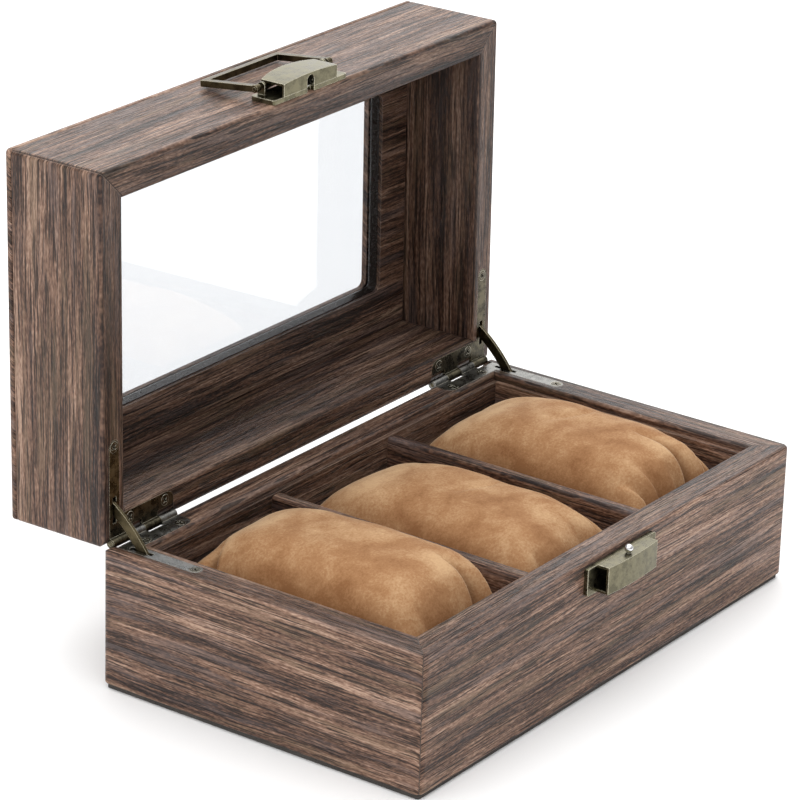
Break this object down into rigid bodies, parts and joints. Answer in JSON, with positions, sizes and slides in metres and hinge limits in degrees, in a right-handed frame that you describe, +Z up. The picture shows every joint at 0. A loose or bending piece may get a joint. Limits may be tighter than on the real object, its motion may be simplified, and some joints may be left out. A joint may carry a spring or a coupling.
{
  "type": "watch box",
  "caption": "Wood-look watch box with cushioned compartments under a hinged lid with a window, two sliding stays and a catch with a folding bail.",
  "frame": {"origin": "centre of the base's underside, on the surface it stands on", "axes": "+Z up, +X to the right along the box's longest side, the front with the catch faces -Y; the lid is open at rest"},
  "size_m": [0.2, 0.1604, 0.169],
  "materials": {
    "base_vinyl": "satin woodgrain wrap",
    "lid_vinyl": "satin woodgrain wrap",
    "lining_vinyl": "satin woodgrain wrap",
    "divider_vinyl": "satin woodgrain wrap",
    "floor": "matt",
    "underside": "matt",
    "cushion_velvet": "napped",
    "glass": "clear",
    "bead": "satin",
    "antique_brass": "antiqued satin",
    "dark_brass": "antiqued satin",
    "screw_brass": "antiqued satin",
    "ball_chrome": "polished",
    "spring_steel": "bright"
  },
  "bodies": {
    "base": {"base_front_wall": "base_vinyl", "base_back_wall": "base_vinyl", "base_left_wall": "base_vinyl", "base_right_wall": "base_vinyl", "bottom_sheet": "underside", "floor_board": "floor", "front_liner": "lining_vinyl", "back_liner": "lining_vinyl", "left_liner": "lining_vinyl", "right_liner": "lining_vinyl", "left_divider": "divider_vinyl", "right_divider": "divider_vinyl", "left_hinge_base_leaf": "dark_brass", "left_hinge_pin": "dark_brass", "right_hinge_base_leaf": "dark_brass", "right_hinge_pin": "dark_brass", "base_hinge_screws": "screw_brass", "lower_catch_plate": "antique_brass", "lower_catch_cover": "antique_brass", "catch_ball": "ball_chrome"},
    "lid": {"lid_front_wall": "lid_vinyl", "lid_back_wall": "lid_vinyl", "lid_left_wall": "lid_vinyl", "lid_right_wall": "lid_vinyl", "lid_frame": "lid_vinyl", "lid_top_sheet": "lid_vinyl", "lid_glass": "glass", "lid_hinge_screws": "screw_brass", "glass_bead": "bead", "left_hinge_lid_leaf": "dark_brass", "right_hinge_lid_leaf": "dark_brass", "upper_catch_plate": "antique_brass", "upper_catch_cover": "antique_brass", "catch_spring": "spring_steel", "bail_pin": "antique_brass"},
    "left_stay": {"left_stay": "antique_brass"},
    "right_stay": {"right_stay": "antique_brass"},
    "bail": {"bail": "antique_brass"},
    "left_cushion": {"left_cushion": "cushion_velvet"},
    "middle_cushion": {"middle_cushion": "cushion_velvet"},
    "right_cushion": {"right_cushion": "cushion_velvet"}
  },
  "joints": [
    {"name": "lid_hinge", "type": "hinge", "parent": "base", "child": "lid", "pos_m": [0, 0.0579, 0.0462], "axis": [-1, 0, 0], "range_deg": [-90.7, 0]},
    {"name": "left_stay_swing", "type": "hinge", "parent": "base", "child": "left_stay", "pos_m": [-0.09485, 0.0579, 0.0462], "axis": [-1, 0, 0], "range_deg": [-45.35, 0]},
    {"name": "right_stay_swing", "type": "hinge", "parent": "base", "child": "right_stay", "pos_m": [0.09485, 0.0579, 0.0462], "axis": [-1, 0, 0], "range_deg": [-45.35, 0]},
    {"name": "bail_hinge", "type": "hinge", "parent": "lid", "child": "bail", "pos_m": [0, 0.06687, 0.16675], "axis": [1, 0, 0], "range_deg": [0, 189]},
    {"name": "left_cushion_lift", "type": "slide", "parent": "base", "child": "left_cushion", "axis": [0, 0, 1], "range_m": [0, 0.07]},
    {"name": "middle_cushion_lift", "type": "slide", "parent": "base", "child": "middle_cushion", "axis": [0, 0, 1], "range_m": [0, 0.07]},
    {"name": "right_cushion_lift", "type": "slide", "parent": "base", "child": "right_cushion", "axis": [0, 0, 1], "range_m": [0, 0.07]}
  ],
  "couplings": [
    {"joint": "left_stay_swing", "follows": "lid_hinge", "ratio": 0.5},
    {"joint": "right_stay_swing", "follows": "lid_hinge", "ratio": 0.5}
  ]
}
